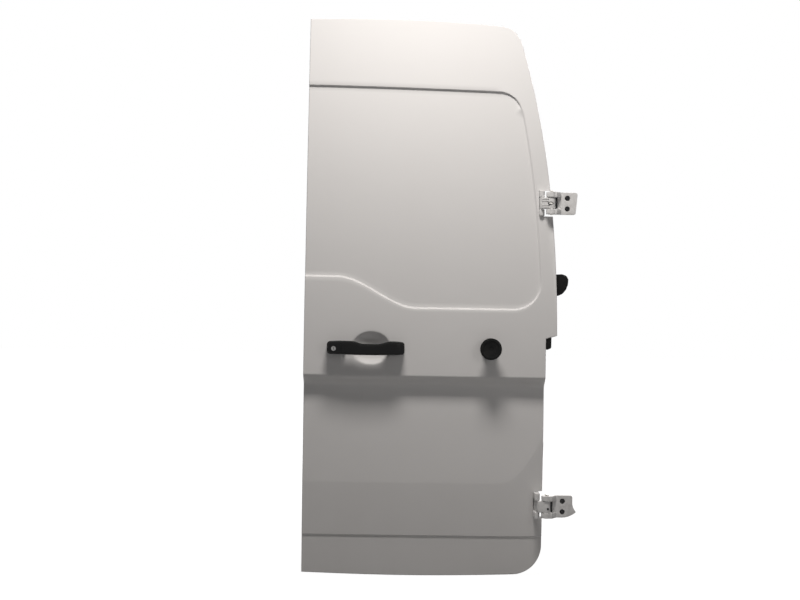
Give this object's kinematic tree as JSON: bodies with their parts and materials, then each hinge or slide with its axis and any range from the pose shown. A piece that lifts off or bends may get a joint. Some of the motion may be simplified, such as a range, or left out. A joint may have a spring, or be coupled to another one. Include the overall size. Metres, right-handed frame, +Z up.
{
  "type": "campervan rear barn door",
  "caption": "Tall white pressed-steel rear door without glass, with pull handle, stand-off door holder and side hinges with bolt-on leaves.",
  "frame": {"origin": "middle of the lower pillar leaf's mounting face, between its two bolt holes", "axes": "+Z up along the hinge axis, +Y out of the mounting faces towards the van, +X from the door towards the pillar leaves"},
  "size_m": [0.902, 0.1818, 1.852],
  "materials": {
    "white_paint": "gloss white body paint",
    "black_plastic": "satin black plastic",
    "black_rubber": "dull black rubber",
    "zinc_steel": "zinc plated steel"
  },
  "bodies": {
    "pillar_leaves": {"upper_pillar_leaf": "white_paint", "lower_pillar_leaf": "white_paint", "upper_hinge_pin": "zinc_steel", "lower_hinge_pin": "zinc_steel"},
    "door": {"outer_skin": "white_paint", "inner_frame": "white_paint", "waist_panel": "white_paint", "upper_skin_stiffener": "white_paint", "lower_skin_stiffener": "white_paint", "upper_hinge_reinforcement": "white_paint", "lower_hinge_reinforcement": "white_paint", "upper_hinge_pocket": "white_paint", "lower_hinge_pocket": "white_paint", "lock_reinforcement": "white_paint", "upper_door_leaf": "white_paint", "lower_door_leaf": "white_paint", "handle_end_cap": "black_plastic", "front_handle_gasket": "black_rubber", "rear_handle_gasket": "black_rubber", "handle_carrier": "zinc_steel", "holder_foot": "black_plastic", "holder_buffer": "black_rubber", "wiring_boot": "black_rubber", "edge_buffer": "black_rubber", "central_latch": "zinc_steel", "top_latch": "zinc_steel", "bottom_latch": "zinc_steel", "top_latch_rod": "zinc_steel", "bottom_latch_rod": "zinc_steel", "inner_release_handle": "black_plastic", "meeting_edge_seal": "black_rubber", "overslam_buffers": "black_rubber"},
    "grip": {"handle_grip": "black_plastic"},
    "key_barrel": {"lock_cylinder": "zinc_steel"}
  },
  "joints": [
    {"name": "door_hinge", "type": "hinge", "parent": "pillar_leaves", "child": "door", "pos_m": [-0.053, -0.016, 0.5], "axis": [0, 0, 1], "range_deg": [-90, 180]},
    {"name": "handle_pull", "type": "hinge", "parent": "door", "child": "grip", "pos_m": [-0.54, -0.00776, 0.51], "axis": [0, 0, 1], "range_deg": [0, 12], "stiffness_Nm_per_rad": 12, "springref_deg": -2.86},
    {"name": "key_turn", "type": "hinge", "parent": "door", "child": "key_barrel", "pos_m": [-0.758, -0.03, 0.51], "axis": [0, 1, 0], "range_deg": [-80, 80]}
  ]
}
